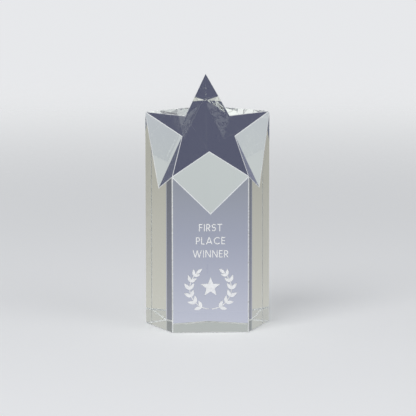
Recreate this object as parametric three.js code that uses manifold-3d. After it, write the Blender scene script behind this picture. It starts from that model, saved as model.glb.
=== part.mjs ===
// Star tower award of clear optical crystal.
// One solid five-sided block stands on its flat underside with one flat side
// to the front (-Y) and one corner to the back (+Y). Its top is cut along a
// plane that slopes down to the front, and five grooves cut into the sides
// leave a five-pointed star in that plane. The front side carries a
// sand-blasted inscription and wreath, each mark filled with white.
// Units: millimetres, +Z up, origin under the middle of the block's box.

import * as THREE from 'three';
import { ConvexGeometry } from 'three/addons/geometries/ConvexGeometry.js';
import * as BufferGeometryUtils from 'three/addons/utils/BufferGeometryUtils.js';
import Module from 'manifold-3d';

const wasm = await Module();
wasm.setup();

// ---------------------------------------------------------------- dimensions
const WIDTH = 76.2;            // across the two side corners (3 in)
const HEIGHT = 152.4;          // underside to the top star point (6 in)
const DEPTH = 53.0;            // front side to the back corner
const FRONT_WIDTH = 46.2;      // front side, corner to corner
const SIDE_DEPTH = 33.1;       // side corners, behind the front side
const TOP_SLOPE = 1.078;       // rise of the star face per unit of depth
const ARRIS = 0.3;             // leg of the fine chamfer on the edges of the star and the grooves
const ARRIS_UPRIGHT = 0.5;     // on the upright corners and round the foot

// the star's inner corners, as [distance from the middle plane, distance
// behind the front side]
const NOTCH_FRONT = [0, 12.5];      // above the front side
const NOTCH_LOW = [16.1, 20.4];     // above the side-front sides
const NOTCH_HIGH = [13.6, 30.8];    // at the root of the top point
const GROOVE_FRONT_Z = 72.7;   // foot of the groove in the front side
const GROOVE_SIDE_Z = 86.3;    // foot of the grooves in the side-front sides
const SHOULDER_Z = 132.1;      // height of the two back shoulders at the back edge

const ETCH_DEPTH = 0.5;        // depth of the sand-blasted marks
const FILL_STEP = 0.06;        // the white fill sits this far below the surface
const FILL_GAP = 0.05;         // clearance round each fill
const CAP = 4.4;               // capital height of the inscription
const STROKE = 0.56;           // stroke width of the inscription
const TRACK = 0.8;             // space between letters
const LINE_Z = [62.2, 54.2, 46.2];  // baselines of the three lines
const WREATH_Z = 27.2;         // centre of the wreath
const WREATH_R = 12.6;         // radius of its stems

// ------------------------------------------------------------------- plan
// Plan points are given from the middle plane and from the front side; the
// part's origin is under the middle of the block's box.
const Z0 = HEIGHT - TOP_SLOPE * DEPTH;      // star face height at the front side
const at = (x, y, z) => new THREE.Vector3(x, y - DEPTH / 2, z);
const top = (x, y) => at(x, y, Z0 + TOP_SLOPE * y);

const plan = {
  B: [0, DEPTH],
  R: [WIDTH / 2, SIDE_DEPTH], FR: [FRONT_WIDTH / 2, 0],
  FL: [-FRONT_WIDTH / 2, 0], L: [-WIDTH / 2, SIDE_DEPTH],
};
const ring = ['B', 'R', 'FR', 'FL', 'L'];
const foot = Object.fromEntries(ring.map((k) => [k, at(...plan[k], 0)]));
const tip = Object.fromEntries(ring.map((k) => [k, top(...plan[k])]));
const FRONT_Y = -DEPTH / 2;        // front side's plane

const inner = {
  F: top(...NOTCH_FRONT),
  SR: top(...NOTCH_LOW), SL: top(-NOTCH_LOW[0], NOTCH_LOW[1]),
  BR: top(...NOTCH_HIGH), BL: top(-NOTCH_HIGH[0], NOTCH_HIGH[1]),
};
const mid = (a, b) => [(plan[a][0] + plan[b][0]) / 2, (plan[a][1] + plan[b][1]) / 2];
const heel = {
  F: at(...mid('FL', 'FR'), GROOVE_FRONT_Z),
  SR: at(...mid('FR', 'R'), GROOVE_SIDE_Z), SL: at(...mid('FL', 'L'), GROOVE_SIDE_Z),
  B: at(...plan.B, SHOULDER_Z),
};

// ------------------------------------------------------------------ helpers
function solid(geometry) {
  const g = geometry.clone();
  for (const name of Object.keys(g.attributes)) if (name !== 'position') g.deleteAttribute(name);
  const m = BufferGeometryUtils.mergeVertices(g, 1e-5);
  const index = m.index ? m.index.array : Uint32Array.from({ length: m.attributes.position.count }, (_, i) => i);
  return new wasm.Manifold(new wasm.Mesh({
    numProp: 3,
    vertProperties: new Float32Array(m.attributes.position.array),
    triVerts: new Uint32Array(index),
  }));
}

function geometryOf(manifold) {
  const mesh = manifold.getMesh();
  const pos = new Float32Array(mesh.numVert * 3);
  for (let i = 0; i < mesh.numVert; i++) {
    for (let k = 0; k < 3; k++) pos[3 * i + k] = mesh.vertProperties[i * mesh.numProp + k];
  }
  const g = new THREE.BufferGeometry();
  g.setAttribute('position', new THREE.BufferAttribute(pos, 3));
  g.setIndex(new THREE.BufferAttribute(new Uint32Array(mesh.triVerts), 1));
  const flat = g.toNonIndexed();
  flat.computeVertexNormals();
  return flat;
}

const hull = (points) => solid(new ConvexGeometry(points));
const mix = (p, d, s) => p.clone().addScaledVector(d, s);

// V-shaped groove whose valley runs from the heel to the inner corner, with
// one wall through a and the other through b
function groove(heelPoint, innerPoint, a, b) {
  const along = innerPoint.clone().sub(heelPoint).normalize();
  const square = (p) => {
    const d = p.clone().sub(heelPoint);
    return d.addScaledVector(along, -d.dot(along)).normalize();
  };
  const da = square(a), db = square(b), reach = 90, over = 30;
  const low = mix(heelPoint, along, -over), high = mix(innerPoint, along, over);
  return hull([low, high, mix(low, da, reach), mix(high, da, reach), mix(low, db, reach), mix(high, db, reach)]);
}

// Chamfer along the edge p-q between two faces with outward normals n1, n2.
// mitreP and mitreQ are either a length to run on past the end, or the normal
// of the plane that the cutter stops at.
function chamfer(p, q, n1, n2, mitreP, mitreQ, leg = ARRIS) {
  const e = q.clone().sub(p).normalize();
  const into = (n, other) => {
    const t = n.clone().cross(e).normalize();
    return t.dot(other) > 0 ? t.negate() : t;
  };
  const t1 = into(n1, n2), t2 = into(n2, n1);
  const out = n1.clone().add(n2).normalize();
  const a = t1.clone().multiplyScalar(leg), b = t2.clone().multiplyScalar(leg);
  const across = a.clone().sub(b);
  a.addScaledVector(across, 0.35); b.addScaledVector(across, -0.35);
  const section = [a, b, out.clone().multiplyScalar(leg * 1.2)];
  const end = (base, mitre, sign) => section.map((s) => {
    const point = base.clone().add(s);
    if (typeof mitre === 'number') return point.addScaledVector(e, sign * mitre);
    return point.addScaledVector(e, -s.dot(mitre) / e.dot(mitre) + sign * 0.002);
  });
  return hull([...end(p, mitreP, -1), ...end(q, mitreQ, 1)]);
}

const normalOf = (a, b, c) => b.clone().sub(a).cross(c.clone().sub(a)).normalize();
const facing = (n, dir) => (n.dot(dir) < 0 ? n.negate() : n);

// -------------------------------------------------------------- the block
const UP = new THREE.Vector3(0, 0, 1), DOWN = new THREE.Vector3(0, 0, -1);
let block = hull([...ring.map((k) => foot[k]), ...ring.map((k) => tip[k])]);
block = block.subtract(groove(heel.F, inner.F, tip.FL, tip.FR));
block = block.subtract(groove(heel.SR, inner.SR, tip.FR, tip.R));
block = block.subtract(groove(heel.SL, inner.SL, tip.FL, tip.L));
block = block.subtract(groove(heel.B, inner.BR, tip.B, tip.R));
block = block.subtract(groove(heel.B, inner.BL, tip.B, tip.L));

// face normals
const STAR = facing(normalOf(tip.L, tip.R, tip.B), UP);
const sideNormal = (a, b) => {
  const n = new THREE.Vector3(plan[b][1] - plan[a][1], plan[a][0] - plan[b][0], 0).normalize();
  return facing(n, new THREE.Vector3(plan[a][0] + plan[b][0], plan[a][1] + plan[b][1] - DEPTH, 0));
};
const N = { F: sideNormal('FL', 'FR'), SR: sideNormal('FR', 'R'), SL: sideNormal('FL', 'L'), BR: sideNormal('R', 'B'), BL: sideNormal('L', 'B') };
const wall = (h, i, t) => facing(normalOf(h, i, t), UP);
const W = {
  F_FL: wall(heel.F, inner.F, tip.FL), F_FR: wall(heel.F, inner.F, tip.FR),
  SR_FR: wall(heel.SR, inner.SR, tip.FR), SR_R: wall(heel.SR, inner.SR, tip.R),
  SL_FL: wall(heel.SL, inner.SL, tip.FL), SL_L: wall(heel.SL, inner.SL, tip.L),
  BR_R: wall(heel.B, inner.BR, tip.R), BL_L: wall(heel.B, inner.BL, tip.L),
  BR_B: facing(normalOf(heel.B, inner.BR, tip.B), new THREE.Vector3(1, 0, 0)),
  BL_B: facing(normalOf(heel.B, inner.BL, tip.B), new THREE.Vector3(-1, 0, 0)),
};
// mitre planes at the inner corners of the star and at the heels of the grooves
const mitre = (valleyA, valleyB, a, b, apex) => {
  const bis = a.clone().sub(apex).normalize().add(b.clone().sub(apex).normalize());
  return valleyB.clone().sub(valleyA).cross(bis).normalize();
};
const starMitre = {
  F: mitre(heel.F, inner.F, tip.FL, tip.FR, inner.F),
  SR: mitre(heel.SR, inner.SR, tip.FR, tip.R, inner.SR), SL: mitre(heel.SL, inner.SL, tip.FL, tip.L, inner.SL),
  BR: mitre(heel.B, inner.BR, tip.R, tip.B, inner.BR), BL: mitre(heel.B, inner.BL, tip.L, tip.B, inner.BL),
};
const heelMitre = {
  F: mitre(heel.F, inner.F, tip.FL, tip.FR, heel.F),
  SR: mitre(heel.SR, inner.SR, tip.FR, tip.R, heel.SR), SL: mitre(heel.SL, inner.SL, tip.FL, tip.L, heel.SL),
};

const cuts = [
  // star outline
  chamfer(tip.FL, inner.F, STAR, W.F_FL, 1.5, starMitre.F), chamfer(tip.FR, inner.F, STAR, W.F_FR, 1.5, starMitre.F),
  chamfer(tip.FR, inner.SR, STAR, W.SR_FR, 1.5, starMitre.SR), chamfer(tip.R, inner.SR, STAR, W.SR_R, 1.5, starMitre.SR),
  chamfer(tip.FL, inner.SL, STAR, W.SL_FL, 1.5, starMitre.SL), chamfer(tip.L, inner.SL, STAR, W.SL_L, 1.5, starMitre.SL),
  chamfer(tip.R, inner.BR, STAR, W.BR_R, 1.5, starMitre.BR), chamfer(tip.B, inner.BR, STAR, W.BR_B, 1.5, starMitre.BR),
  chamfer(tip.L, inner.BL, STAR, W.BL_L, 1.5, starMitre.BL), chamfer(tip.B, inner.BL, STAR, W.BL_B, 1.5, starMitre.BL),
  // where the groove walls meet the sides
  chamfer(tip.FL, heel.F, N.F, W.F_FL, 1.5, heelMitre.F), chamfer(tip.FR, heel.F, N.F, W.F_FR, 1.5, heelMitre.F),
  chamfer(tip.FR, heel.SR, N.SR, W.SR_FR, 1.5, heelMitre.SR), chamfer(tip.R, heel.SR, N.SR, W.SR_R, 1.5, heelMitre.SR),
  chamfer(tip.FL, heel.SL, N.SL, W.SL_FL, 1.5, heelMitre.SL), chamfer(tip.L, heel.SL, N.SL, W.SL_L, 1.5, heelMitre.SL),
  chamfer(tip.R, heel.B, N.BR, W.BR_R, 1.5, 0.2), chamfer(tip.L, heel.B, N.BL, W.BL_L, 1.5, 0.2),
  chamfer(heel.B, tip.B, W.BR_B, W.BL_B, 0.2, 1.5),
  // upright corners
  chamfer(foot.FL, tip.FL, N.F, N.SL, 1.5, 1.5, ARRIS_UPRIGHT), chamfer(foot.FR, tip.FR, N.F, N.SR, 1.5, 1.5, ARRIS_UPRIGHT),
  chamfer(foot.L, tip.L, N.SL, N.BL, 1.5, 1.5, ARRIS_UPRIGHT), chamfer(foot.R, tip.R, N.SR, N.BR, 1.5, 1.5, ARRIS_UPRIGHT),
  chamfer(foot.B, heel.B, N.BL, N.BR, 1.5, 0.2, ARRIS_UPRIGHT),
  // foot
  chamfer(foot.FL, foot.FR, DOWN, N.F, 1.5, 1.5, ARRIS_UPRIGHT), chamfer(foot.FR, foot.R, DOWN, N.SR, 1.5, 1.5, ARRIS_UPRIGHT),
  chamfer(foot.R, foot.B, DOWN, N.BR, 1.5, 1.5, ARRIS_UPRIGHT), chamfer(foot.B, foot.L, DOWN, N.BL, 1.5, 1.5, ARRIS_UPRIGHT),
  chamfer(foot.L, foot.FL, DOWN, N.SL, 1.5, 1.5, ARRIS_UPRIGHT),
];
for (const cut of cuts) block = block.subtract(cut);

// ------------------------------------------------------- marks on the front
// Every mark is drawn in the plane of the front side, u to the right and v up,
// grown by "grow" for its pocket.
function plate(shape, front, back) {
  const g = new THREE.ExtrudeGeometry(shape, { depth: back - front, bevelEnabled: false, curveSegments: 8 });
  g.rotateX(Math.PI / 2);             // shape plane to X-Z, depth towards -Y
  g.translate(0, FRONT_Y + back, 0);  // floor of the mark
  return solid(g);
}
const polygon = (pts) => {
  const s = new THREE.Shape();
  pts.forEach(([x, y], i) => (i ? s.lineTo(x, y) : s.moveTo(x, y)));
  s.closePath();
  return s;
};
// outline of a stroke of half-width h along a polyline, its ends run on by "run"
function strokeOutline(points, h, run) {
  const p = points.map(([x, y]) => new THREE.Vector2(x, y));
  const n = p.length;
  const first = p[0].clone().sub(p[1]).normalize(), last = p[n - 1].clone().sub(p[n - 2]).normalize();
  p[0].addScaledVector(first, run); p[n - 1].addScaledVector(last, run);
  const left = [], right = [];
  for (let i = 0; i < n; i++) {
    const d1 = (i ? p[i].clone().sub(p[i - 1]) : p[1].clone().sub(p[0])).normalize();
    const d2 = (i < n - 1 ? p[i + 1].clone().sub(p[i]) : p[i].clone().sub(p[i - 1])).normalize();
    const n1 = new THREE.Vector2(-d1.y, d1.x), n2 = new THREE.Vector2(-d2.y, d2.x);
    const m = n1.clone().add(n2).normalize();
    const k = h / Math.max(0.4, m.dot(n1));
    left.push([p[i].x + m.x * k, p[i].y + m.y * k]);
    right.push([p[i].x - m.x * k, p[i].y - m.y * k]);
  }
  return [...left, ...right.reverse()];
}
const arc = (cx, cy, r, a0, a1, steps) => Array.from({ length: steps + 1 }, (_, i) => {
  const a = THREE.MathUtils.degToRad(a0 + (a1 - a0) * i / steps);
  return [cx + r * Math.cos(a), cy + r * Math.sin(a)];
});

// Letters: [width, strokes]; a stroke is a centre line, "clip" strokes run on
// and are cut off square at the base line and the capital line.
const H = CAP, w = STROKE, e = STROKE / 2;
const bowl = (y0, y1, x) => {
  const r = (y1 - y0) / 2;
  return [[e, y1], [x, y1], ...arc(x, y0 + r, r, 75, -75, 10), [x, y0], [e, y0]];
};
const letters = {
  A: [3.9, [['clip', [[e * 1.05, 0], [1.95, H]]], ['clip', [[3.9 - e * 1.05, 0], [1.95, H]]], ['in', [[0.95, 1.25], [2.95, 1.25]]]]],
  C: [3.75, [['free', arc(2.2, H / 2, H / 2 - e, 47, 313, 22)]]],
  E: [2.3, [['in', [[e, 0], [e, H]]], ['in', [[0, H - e], [2.3, H - e]]], ['in', [[0, H * 0.52], [2.1, H * 0.52]]], ['in', [[0, e], [2.3, e]]]]],
  F: [2.2, [['in', [[e, 0], [e, H]]], ['in', [[0, H - e], [2.2, H - e]]], ['in', [[0, H * 0.52], [2.0, H * 0.52]]]]],
  I: [w, [['in', [[e, 0], [e, H]]]]],
  L: [2.1, [['in', [[e, 0], [e, H]]], ['in', [[0, e], [2.1, e]]]]],
  N: [3.3, [['in', [[e, 0], [e, H]]], ['in', [[3.3 - e, 0], [3.3 - e, H]]], ['clip', [[e, H], [3.3 - e, 0]]]]],
  P: [2.35, [['in', [[e, 0], [e, H]]], ['in', bowl(1.95, H - e, 1.1)]]],
  R: [2.6, [['in', [[e, 0], [e, H]]], ['in', bowl(1.95, H - e, 1.1)], ['clip', [[1.15, 1.95], [2.3, 0]]]]],
  S: [2.5, [['free', [...arc(1.28, H - e - 0.99, 0.99, 28, 262, 14), ...arc(1.2, e + 1.05, 1.05, 82, -148, 14)]]]],
  T: [2.9, [['in', [[1.45, 0], [1.45, H]]], ['in', [[0, H - e], [2.9, H - e]]]]],
  W: [5.5, [['clip', [[e * 0.95, H], [1.6, 0]]], ['clip', [[2.75, H], [1.6, 0]]], ['clip', [[2.75, H], [3.9, 0]]], ['clip', [[5.5 - e * 0.95, H], [3.9, 0]]]]],
};

function letterSolid(name, u, v, grow, front, back) {
  const [width, strokes] = letters[name];
  let body = null;
  for (const [kind, line] of strokes) {
    const run = kind === 'clip' ? 1.2 : grow;
    const outline = strokeOutline(line, e + grow, run).map(([x, y]) => [x + u, y + v]);
    let piece = plate(polygon(outline), front, back);
    if (kind === 'clip') {
      const lowEnd = name === 'R' ? -grow : -grow;
      const highEnd = name === 'R' ? 1.95 + grow : H + grow;
      const band = plate(polygon([[u - 3, v + lowEnd], [u + width + 3, v + lowEnd], [u + width + 3, v + highEnd], [u - 3, v + highEnd]]), front - 1, back + 1);
      piece = piece.intersect(band);
    }
    body = body ? body.add(piece) : piece;
  }
  return body;
}

// leaf: pointed oval from its foot, "angle" is the way its tip points
function leafOutline(u, v, length, halfWidth, angle, grow) {
  const n = 6, pts = [];
  const profile = (t) => Math.sin(Math.PI * Math.pow(t, 0.85)) * halfWidth + grow;
  for (let i = 0; i <= n; i++) pts.push([-grow + (length + 2 * grow) * i / n, i === 0 || i === n ? 0 : profile(i / n)]);
  for (let i = n - 1; i > 0; i--) pts.push([-grow + (length + 2 * grow) * i / n, -profile(i / n)]);
  const c = Math.cos(angle), s = Math.sin(angle);
  return pts.map(([x, y]) => [u + x * c - y * s, v + x * s + y * c]);
}

// one laurel branch, side +1 right, -1 left
function branchSolid(side, grow, front, back) {
  const stem = arc(0, 0, WREATH_R, -86.5, 47, 20);
  const place = ([x, y]) => [side * x, y + WREATH_Z];
  const wind = (pts) => (side < 0 ? pts.reverse() : pts);
  let body = plate(polygon(wind(strokeOutline(stem, 0.24 + grow, grow).map(place))), front, back);
  const add = (deg, tilt, length, half) => {
    const a = THREE.MathUtils.degToRad(deg);
    const foot2 = [WREATH_R * Math.cos(a), WREATH_R * Math.sin(a)];
    const dir = a + Math.PI / 2 + THREE.MathUtils.degToRad(tilt);
    body = body.add(plate(polygon(wind(leafOutline(foot2[0], foot2[1], length, half, dir, grow).map(place))), front, back));
  };
  for (const deg of [-66, -45, -24, -3, 18, 37]) {
    const size = 1 - Math.max(0, deg) * 0.004;
    add(deg, -38, 5.1 * size, 1.08 * size);
    add(deg, 38, 4.7 * size, 1.0 * size);
  }
  add(46, 4, 4.8, 1.0);
  return body;
}

function starOutline(cx, cy, r, ratio) {
  return Array.from({ length: 10 }, (_, i) => {
    const a = Math.PI / 2 + i * Math.PI / 5, q = i % 2 ? r * ratio : r;
    return [cx + q * Math.cos(a), cy + q * Math.sin(a)];
  });
}

const marks = [];
const line = (word, row) => {
  const letterList = [...word];
  const total = letterList.reduce((s, c) => s + letters[c][0], 0) + TRACK * (letterList.length - 1);
  let u = -total / 2;
  letterList.forEach((c, i) => {
    const u0 = u;
    marks.push({
      name: `inlay_${word.toLowerCase()}_${i + 1}_${c}`,
      make: (grow, front, back) => letterSolid(c, u0, LINE_Z[row], grow, front, back),
    });
    u += letters[c][0] + TRACK;
  });
};
line('FIRST', 0);
line('PLACE', 1);
line('WINNER', 2);
marks.push({ name: 'inlay_laurel_left', make: (g, f, b) => branchSolid(-1, g, f, b) });
marks.push({ name: 'inlay_laurel_right', make: (g, f, b) => branchSolid(1, g, f, b) });
marks.push({
  name: 'inlay_star',
  make: (g, f, b) => plate(polygon(starOutline(0, WREATH_Z + 0.8, 6.2 + g * 2.4, 0.42)), f, b),
});

const award = new THREE.Group();
const fills = [];
for (const mark of marks) {
  block = block.subtract(mark.make(FILL_GAP, -1, ETCH_DEPTH));
  fills.push([mark.name, mark.make(0, FILL_STEP, ETCH_DEPTH)]);
}

const crystal = new THREE.MeshStandardMaterial({ color: 0xdfe6e4, roughness: 0.03, metalness: 0.0, transparent: true, opacity: 0.35 });
const tower = new THREE.Mesh(geometryOf(block), crystal);
tower.name = 'crystal_tower';
award.add(tower);
for (const [name, body] of fills) {
  const mesh = new THREE.Mesh(
    geometryOf(body),
    new THREE.MeshStandardMaterial({ color: 0xf4f5f6, roughness: 0.85, metalness: 0.0 }),
  );
  mesh.name = name;
  award.add(mesh);
}

export default award;
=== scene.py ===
import math

import bmesh
import bpy
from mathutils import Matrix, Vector


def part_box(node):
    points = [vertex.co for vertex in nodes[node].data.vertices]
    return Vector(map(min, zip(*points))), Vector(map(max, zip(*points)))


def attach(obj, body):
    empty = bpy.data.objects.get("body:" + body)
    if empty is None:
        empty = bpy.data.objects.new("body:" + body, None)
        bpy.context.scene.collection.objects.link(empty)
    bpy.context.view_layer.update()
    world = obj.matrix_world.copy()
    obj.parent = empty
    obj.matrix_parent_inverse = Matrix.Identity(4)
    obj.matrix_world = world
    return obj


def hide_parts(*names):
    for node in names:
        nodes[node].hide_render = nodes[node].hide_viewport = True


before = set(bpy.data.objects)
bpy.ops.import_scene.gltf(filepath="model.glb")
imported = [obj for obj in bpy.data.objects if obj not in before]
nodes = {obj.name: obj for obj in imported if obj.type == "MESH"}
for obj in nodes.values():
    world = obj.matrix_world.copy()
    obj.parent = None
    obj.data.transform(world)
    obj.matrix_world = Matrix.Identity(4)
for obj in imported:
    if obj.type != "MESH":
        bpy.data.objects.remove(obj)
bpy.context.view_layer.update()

scene = bpy.context.scene
scene.view_settings.view_transform = "Standard"
scene.view_settings.look = "None"
scene.view_settings.exposure = 0.0
scene.view_settings.gamma = 1.0
scene.cycles.use_denoising = True
scene.cycles.max_bounces = 24
scene.cycles.transmission_bounces = 24
scene.cycles.glossy_bounces = 16
scene.cycles.diffuse_bounces = 3
scene.cycles.transparent_max_bounces = 16
scene.cycles.caustics_reflective = True
scene.cycles.caustics_refractive = True
scene.cycles.sample_clamp_indirect = 6.0
scene.cycles.blur_glossy = 0.2

LO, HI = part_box("crystal_tower")
MID_Z = (LO.z + HI.z) / 2

# ------------------------------------------------------------------ camera
S = 0.046194           # width of the front side
YAW, EL, ROLL = math.radians(3.2007), math.radians(8.7074), math.radians(-0.0406)
DIST, LENS = 35.0 * S, 229.3
d = Vector((math.sin(YAW) * math.cos(EL), math.cos(YAW) * math.cos(EL), -math.sin(EL)))
r = Vector((math.cos(YAW), -math.sin(YAW), 0.0))
u = r.cross(d)
r2 = r * math.cos(ROLL) + u * math.sin(ROLL)
u2 = u * math.cos(ROLL) - r * math.sin(ROLL)
aim = Vector((0.0, -0.00063, 1.7 * S)) + r2 * (-0.0013 * S) + u2 * (-0.1313 * S)
cam_data = bpy.data.cameras.new("camera")
cam_data.lens = LENS
cam_data.sensor_width = 36.0
cam_data.clip_start, cam_data.clip_end = 0.05, 100.0
cam = bpy.data.objects.new("camera", cam_data)
scene.collection.objects.link(cam)
cam.rotation_mode = "QUATERNION"
from mathutils import Matrix
cam.rotation_quaternion = Matrix((r2, u2, -d)).transposed().to_quaternion()
cam.location = aim - d * DIST
scene.camera = cam


# ----------------------------------------------------------- node helpers
def new_material(name):
    m = bpy.data.materials.new(name)
    m.use_nodes = True
    nt = m.node_tree
    for n in list(nt.nodes):
        nt.nodes.remove(n)
    return m, nt


def node(nt, kind, **values):
    n = nt.nodes.new(kind)
    for k, v in values.items():
        if k.startswith("in_"):
            n.inputs[k[3:].replace("_", " ")].default_value = v
        else:
            setattr(n, k, v)
    return n


def ramp(nt, source, stops, interpolation="LINEAR"):
    n = nt.nodes.new("ShaderNodeValToRGB")
    cr = n.color_ramp
    cr.interpolation = interpolation
    while len(cr.elements) > 1:
        cr.elements.remove(cr.elements[-1])
    first = True
    for pos, col in stops:
        c = (*col, 1.0) if len(col) == 3 else col
        if first:
            cr.elements[0].position = pos
            cr.elements[0].color = c
            first = False
        else:
            e = cr.elements.new(pos)
            e.color = c
    nt.links.new(source, n.inputs["Fac"])
    return n.outputs["Color"]


def math_node(nt, op, a, b=None, clamp=False):
    n = nt.nodes.new("ShaderNodeMath")
    n.operation = op
    n.use_clamp = clamp
    for i, v in enumerate((a, b)):
        if v is None:
            continue
        if isinstance(v, (int, float)):
            n.inputs[i].default_value = v
        else:
            nt.links.new(v, n.inputs[i])
    return n.outputs[0]


def map_range(nt, v, a, b, c=0.0, e=1.0, smooth=True):
    n = nt.nodes.new("ShaderNodeMapRange")
    n.interpolation_type = "SMOOTHSTEP" if smooth else "LINEAR"
    n.clamp = True if not smooth else True
    n.inputs["From Min"].default_value = a
    n.inputs["From Max"].default_value = b
    n.inputs["To Min"].default_value = c
    n.inputs["To Max"].default_value = e
    nt.links.new(v, n.inputs["Value"])
    return n.outputs["Result"]


def mix_colour(nt, fac, a, b, blend="MIX"):
    n = nt.nodes.new("ShaderNodeMix")
    n.data_type = "RGBA"
    n.blend_type = blend
    n.clamp_factor = True
    for sock, v in ((n.inputs[0], fac), (n.inputs[6], a), (n.inputs[7], b)):
        if isinstance(v, (int, float)):
            sock.default_value = v
        elif isinstance(v, tuple):
            sock.default_value = (*v, 1.0) if len(v) == 3 else v
        else:
            nt.links.new(v, sock)
    return n.outputs[2]


# ------------------------------------------------------------------- world
# A studio. The camera and matt surfaces see a plain pale surround. What is
# seen in the crystal is a tent: a dim blue-grey table top, a bright sweep
# behind it, a narrow dark flag on each side of the sweep, warm walls left and
# right, and soft light overhead. Each ramp runs over the sine of the
# elevation; the azimuth is measured from straight behind the award. The
# stretch just below the horizon has ramps of its own, because that is where
# the upright sides look.
PALE = (0.80, 0.81, 0.83)
AMBIENT = (0.46, 0.47, 0.49)
world = bpy.data.worlds.new("studio")
scene.world = world
world.use_nodes = True
wt = world.node_tree
for n in list(wt.nodes):
    wt.nodes.remove(n)
tc = wt.nodes.new("ShaderNodeTexCoord")
sep = wt.nodes.new("ShaderNodeSeparateXYZ")
wt.links.new(tc.outputs["Generated"], sep.inputs[0])
sx, sy, sz = sep.outputs
azimuth = math_node(wt, "MULTIPLY", math_node(wt, "ARCTAN2", sx, sy), 180.0 / math.pi)


def studio(stops):
    return ramp(wt, map_range(wt, sz, -1.0, 1.0, smooth=False), [(0.5 + 0.5 * z, c) for z, c in stops])


# A plain soft studio, graded smoothly by height: a dim table close by, a pale
# sweep that darkens towards the horizon, and a broad soft light overhead.
TABLE = (0.066, 0.073, 0.128)
OVERHEAD = [(0.30, (0.60, 0.61, 0.59)), (0.50, (1.10, 1.11, 1.07)), (0.75, (0.92, 0.93, 0.91)), (1.00, (0.80, 0.81, 0.81))]
behind = studio([
    (-1.00, TABLE), (-0.50, TABLE),
    (-0.36, (0.47, 0.50, 0.51)),
    (-0.29, (0.54, 0.58, 0.58)),
    (-0.20, (0.545, 0.565, 0.680)),
    (-0.165, (0.345, 0.367, 0.475)),
    (-0.14, (0.265, 0.285, 0.345)),
    (0.00, (0.30, 0.32, 0.36)),
    (0.16, (0.39, 0.42, 0.42))] + OVERHEAD)
# large pale panels beside it and round behind the viewer
beside = studio([
    (-1.00, TABLE), (-0.50, TABLE),
    (-0.33, (0.50, 0.52, 0.50)),
    (-0.20, (0.62, 0.61, 0.54)),
    (-0.14, (0.45, 0.44, 0.38)),
    (0.16, (0.50, 0.50, 0.45))] + OVERHEAD)
off_axis = math_node(wt, "ABSOLUTE", azimuth)
tent = mix_colour(wt, map_range(wt, off_axis, 38.0, 75.0), behind, beside)
# the unlit gap between the sweep and the panel on each side
gap = math_node(wt, "MULTIPLY", map_range(wt, off_axis, 23.0, 29.0), map_range(wt, off_axis, 50.0, 36.0))
gap = math_node(wt, "MULTIPLY", gap, map_range(wt, sz, -0.24, -0.20))
gap = math_node(wt, "MULTIPLY", gap, map_range(wt, sz, 0.30, 0.16))
tent = mix_colour(wt, math_node(wt, "MULTIPLY", gap, 0.62), tent, (0.03, 0.03, 0.03))
lp = wt.nodes.new("ShaderNodeLightPath")
tent = mix_colour(wt, lp.outputs["Is Diffuse Ray"], tent, AMBIENT)
final = mix_colour(wt, lp.outputs["Is Camera Ray"], tent, PALE)
bg = wt.nodes.new("ShaderNodeBackground")
wt.links.new(final, bg.inputs["Color"])
bg.inputs["Strength"].default_value = 1.0
wo = wt.nodes.new("ShaderNodeOutputWorld")
wt.links.new(bg.outputs[0], wo.inputs["Surface"])

# ------------------------------------------------------------------- floor
bm = bmesh.new()
bmesh.ops.create_circle(bm, cap_ends=True, cap_tris=False, segments=96, radius=3.0)
me = bpy.data.meshes.new("floor")
bm.to_mesh(me)
bm.free()
floor = bpy.data.objects.new("floor", me)
floor.location = (0, 0, -0.00005)
scene.collection.objects.link(floor)
fm, nt = new_material("floor_pale")
tcf = nt.nodes.new("ShaderNodeTexCoord")
ln = nt.nodes.new("ShaderNodeVectorMath"); ln.operation = "LENGTH"
nt.links.new(tcf.outputs["Object"], ln.inputs[0])
fade = map_range(nt, ln.outputs["Value"], 0.35, 1.6)
diff = nt.nodes.new("ShaderNodeBsdfDiffuse")
diff.inputs["Color"].default_value = (0.86, 0.865, 0.875, 1)
tr = nt.nodes.new("ShaderNodeBsdfTransparent")
ms = nt.nodes.new("ShaderNodeMixShader")
nt.links.new(fade, ms.inputs[0])
nt.links.new(diff.outputs[0], ms.inputs[1])
nt.links.new(tr.outputs[0], ms.inputs[2])
om = nt.nodes.new("ShaderNodeOutputMaterial")
nt.links.new(ms.outputs[0], om.inputs["Surface"])
me.materials.append(fm)
floor.visible_glossy = False
floor.visible_transmission = False


def area(name, loc, target, size, power, colour=(1, 1, 1)):
    ld = bpy.data.lights.new(name, "AREA")
    ld.shape = "DISK"
    ld.size = size
    ld.energy = power
    ld.color = colour
    ob = bpy.data.objects.new(name, ld)
    ob.location = loc
    ob.rotation_mode = "QUATERNION"
    ob.rotation_quaternion = (Vector(loc) - Vector(target)).to_track_quat("Z", "Y")
    ob.visible_glossy = False
    ob.visible_transmission = False
    ob.visible_camera = False
    scene.collection.objects.link(ob)
    return ob


area("key", (-0.7, -1.0, 1.3), (0, 0, 0.07), 1.0, 11.0)
area("fill", (0.9, -0.8, 0.8), (0, 0, 0.07), 0.9, 3.0)

# --------------------------------------------------------------- materials
# Every texture works in object coordinates, in metres.
def noise(nt, coord, scale, detail=3.0, rough=0.5, distortion=0.0):
    n = nt.nodes.new("ShaderNodeTexNoise")
    n.inputs["Scale"].default_value = scale
    n.inputs["Detail"].default_value = detail
    n.inputs["Roughness"].default_value = rough
    n.inputs["Distortion"].default_value = distortion
    nt.links.new(coord, n.inputs["Vector"])
    return n.outputs["Fac"]


def cells(nt, coord, scale, randomness=1.0):
    n = nt.nodes.new("ShaderNodeTexVoronoi")
    n.feature = "F1"
    n.inputs["Scale"].default_value = scale
    n.inputs["Randomness"].default_value = randomness
    nt.links.new(coord, n.inputs["Vector"])
    return n.outputs["Distance"]


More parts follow.
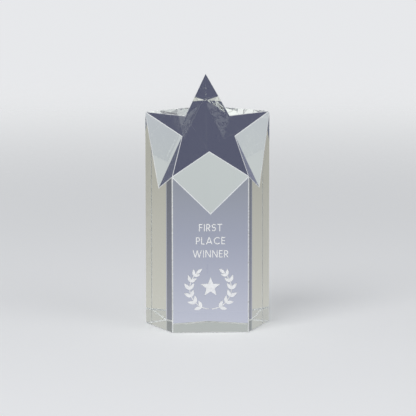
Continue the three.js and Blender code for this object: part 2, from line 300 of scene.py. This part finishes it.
def stretched(nt, coord, x, y, z, turn=(0.0, 0.0, 0.0)):
    n = nt.nodes.new("ShaderNodeMapping")
    n.inputs["Scale"].default_value = (x, y, z)
    n.inputs["Rotation"].default_value = turn
    nt.links.new(coord, n.inputs["Vector"])
    return n.outputs["Vector"]


def bump(nt, height, distance, strength=1.0, normal=None):
    n = nt.nodes.new("ShaderNodeBump")
    n.inputs["Strength"].default_value = strength
    n.inputs["Distance"].default_value = distance
    nt.links.new(height, n.inputs["Height"])
    if normal is not None:
        nt.links.new(normal, n.inputs["Normal"])
    return n.outputs["Normal"]


def finish_material(nt, principled, volume=None):
    out = nt.nodes.new("ShaderNodeOutputMaterial")
    nt.links.new(principled.outputs[0], out.inputs["Surface"])
    if volume is not None:
        nt.links.new(volume.outputs[0], out.inputs["Volume"])


def crystal_material():
    """Polished optical crystal: faint waviness left by the polishing wheel,
    fine haze where it has been handled, and a few specks of dust."""
    m, nt = new_material("crystal_polished")
    tc = nt.nodes.new("ShaderNodeTexCoord")
    co = tc.outputs["Object"]
    p = nt.nodes.new("ShaderNodeBsdfPrincipled")
    p.inputs["Transmission Weight"].default_value = 1.0
    p.inputs["IOR"].default_value = 1.517
    # the tint of the glass hardly changes from place to place
    tint = ramp(nt, noise(nt, co, 25.0, 2.0), [(0.3, (0.985, 0.992, 0.990)), (0.7, (0.997, 0.999, 0.998))])
    nt.links.new(tint, p.inputs["Base Color"])
    # handling haze in soft patches, broken up finely, and dust
    patch = map_range(nt, noise(nt, co, 38.0, 5.0, 0.6), 0.58, 0.76)
    fine = map_range(nt, noise(nt, co, 1300.0, 3.0, 0.7), 0.42, 0.62)
    haze = math_node(nt, "MULTIPLY", math_node(nt, "MULTIPLY", patch, fine), 0.045)
    specks = math_node(nt, "MULTIPLY", map_range(nt, cells(nt, co, 520.0), 0.075, 0.045), map_range(nt, noise(nt, co, 90.0, 2.0), 0.50, 0.62))
    rough = math_node(nt, "ADD", haze, math_node(nt, "MULTIPLY", specks, 0.16), clamp=True)
    nt.links.new(rough, p.inputs["Roughness"])
    # polishing waves: long ones of a few microns, and shorter fainter ones
    long_wave = noise(nt, stretched(nt, co, 1.0, 1.0, 0.55), 42.0, 1.5, 0.4, 0.6)
    short_wave = noise(nt, stretched(nt, co, 1.0, 1.0, 0.7, (0.3, 0.2, 0.1)), 150.0, 1.0, 0.4, 0.3)
    n1 = bump(nt, long_wave, 0.000006)
    n2 = bump(nt, short_wave, 0.0000003, 1.0, n1)
    nt.links.new(n2, p.inputs["Normal"])
    vol = nt.nodes.new("ShaderNodeVolumeAbsorption")
    vol.inputs["Color"].default_value = (0.72, 0.92, 0.86, 1)
    vol.inputs["Density"].default_value = 0.7
    finish_material(nt, p, vol)
    return m


def chamfer_material():
    """The narrow chamfers on every edge: smoothed on a fine wheel, so they
    scatter light. Their pale base colour is painted light, standing in for the
    light that polished chamfers catch, so they read as pale lines; its small
    dull and bright runs are painted glints."""
    m, nt = new_material("crystal_chamfer")
    tc = nt.nodes.new("ShaderNodeTexCoord")
    co = tc.outputs["Object"]
    p = nt.nodes.new("ShaderNodeBsdfPrincipled")
    p.inputs["Transmission Weight"].default_value = 0.35
    p.inputs["IOR"].default_value = 1.517
    # painted glints: the pale base colour, duller and brighter in runs along the chamfer, stands in for the light
    # a polished chamfer catches
    painted_glint_runs = noise(nt, co, 160.0, 4.0, 0.65)
    nt.links.new(ramp(nt, painted_glint_runs, [(0.30, (0.80, 0.82, 0.83)), (0.52, (0.93, 0.94, 0.94)), (0.75, (0.98, 0.985, 0.99))]), p.inputs["Base Color"])
    nt.links.new(map_range(nt, noise(nt, co, 700.0, 4.0, 0.7), 0.35, 0.65, 0.22, 0.50), p.inputs["Roughness"])
    grind = noise(nt, stretched(nt, co, 1.0, 1.0, 6.0), 1600.0, 3.0, 0.6)
    chips = map_range(nt, cells(nt, co, 1100.0), 0.20, 0.05)
    n1 = bump(nt, grind, 0.00001, 0.8)
    n2 = bump(nt, chips, 0.00003, 0.5, n1)
    nt.links.new(n2, p.inputs["Normal"])
    finish_material(nt, p)
    return m


def etched_material():
    """Floor and walls of the sand-blasted marks: an even fine-grained frost."""
    m, nt = new_material("etched_floor")
    tc = nt.nodes.new("ShaderNodeTexCoord")
    co = tc.outputs["Object"]
    p = nt.nodes.new("ShaderNodeBsdfPrincipled")
    p.inputs["Transmission Weight"].default_value = 0.15
    p.inputs["IOR"].default_value = 1.517
    grain = noise(nt, co, 5200.0, 3.0, 0.7)
    cloud = noise(nt, co, 320.0, 3.0)
    nt.links.new(ramp(nt, cloud, [(0.3, (0.84, 0.85, 0.87)), (0.7, (0.93, 0.94, 0.95))]), p.inputs["Base Color"])
    nt.links.new(map_range(nt, grain, 0.3, 0.7, 0.55, 0.9), p.inputs["Roughness"])
    nt.links.new(bump(nt, grain, 0.00004, 0.9), p.inputs["Normal"])
    finish_material(nt, p)
    return m


def fill_material():
    """White colour fill rubbed into the marks: matt, slightly uneven, with the
    grain of the blasted floor showing through and a few small pits."""
    m, nt = new_material("white_fill")
    tc = nt.nodes.new("ShaderNodeTexCoord")
    co = tc.outputs["Object"]
    p = nt.nodes.new("ShaderNodeBsdfPrincipled")
    cloud = noise(nt, co, 420.0, 4.0, 0.6)
    grain = noise(nt, co, 3600.0, 3.0, 0.65)
    pits = map_range(nt, cells(nt, co, 1700.0), 0.16, 0.05)
    base = ramp(nt, cloud, [(0.28, (0.80, 0.81, 0.83)), (0.5, (0.90, 0.905, 0.915)), (0.72, (0.95, 0.952, 0.955))])
    base = mix_colour(nt, math_node(nt, "MULTIPLY", pits, 0.45), base, (0.66, 0.67, 0.70))
    nt.links.new(base, p.inputs["Base Color"])
    nt.links.new(map_range(nt, grain, 0.3, 0.7, 0.62, 0.92), p.inputs["Roughness"])
    n1 = bump(nt, grain, 0.00003, 0.8)
    n2 = bump(nt, math_node(nt, "SUBTRACT", 1.0, pits), 0.00005, 0.6, n1)
    nt.links.new(n2, p.inputs["Normal"])
    finish_material(nt, p)
    return m


# the crystal block: the CAD block's own surface, welded, with its polished
# sides, its chamfers and its sand-blasted pockets as separate finishes
src = nodes["crystal_tower"].data
bm = bmesh.new()
bm.from_mesh(src)
bmesh.ops.remove_doubles(bm, verts=bm.verts, dist=1e-7)
bmesh.ops.dissolve_degenerate(bm, edges=bm.edges, dist=1e-7)
bm.faces.ensure_lookup_table()
bm.normal_update()
# faces grouped into planes, by area
planes = []
for f in bm.faces:
    n, off, a = f.normal.copy(), f.normal.dot(f.calc_center_median()), f.calc_area()
    for pl in planes:
        if pl[0].dot(n) > 0.99995 and abs(pl[1] - off) < 4e-5:
            pl[2] += a
            pl[3].append(f.index)
            break
    else:
        planes.append([n, off, a, [f.index]])
planes.sort(key=lambda p: -p[2])
kind = {}
FRONT_Y = LO.y
for pl in planes:
    for i in pl[3]:
        f = bm.faces[i]
        c = f.calc_center_median()
        recessed = FRONT_Y + 1e-5 < c.y < FRONT_Y + 0.0006 and c.z < 0.069 and abs(c.x) < 0.0215 and c.z > 0.004
        if recessed and (abs(f.normal.y) < 0.02 or (f.normal.y < -0.99 and c.y > FRONT_Y + 4e-4)):
            kind[i] = 2
        elif pl[2] > 150e-6 or (abs(pl[0].z) < 0.02 and c.y > 0.02):
            kind[i] = 0
        else:
            kind[i] = 1
for f in bm.faces:
    f.material_index = kind[f.index]
    f.smooth = False
print("planes", [(tuple(round(v, 3) for v in p[0]), round(p[2] * 1e6, 1)) for p in planes[:24]])
print("kinds", [sum(1 for v in kind.values() if v == k) for k in (0, 1, 2)])
me = bpy.data.meshes.new("crystal_block")
bm.to_mesh(me)
bm.free()
block = bpy.data.objects.new("crystal_block", me)
scene.collection.objects.link(block)
for m in (crystal_material(), chamfer_material(), etched_material()):
    me.materials.append(m)
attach(block, "root")
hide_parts("crystal_tower")

white = fill_material()
for name, ob in nodes.items():
    if name != "crystal_tower":
        ob.data.materials.clear()
        ob.data.materials.append(white)
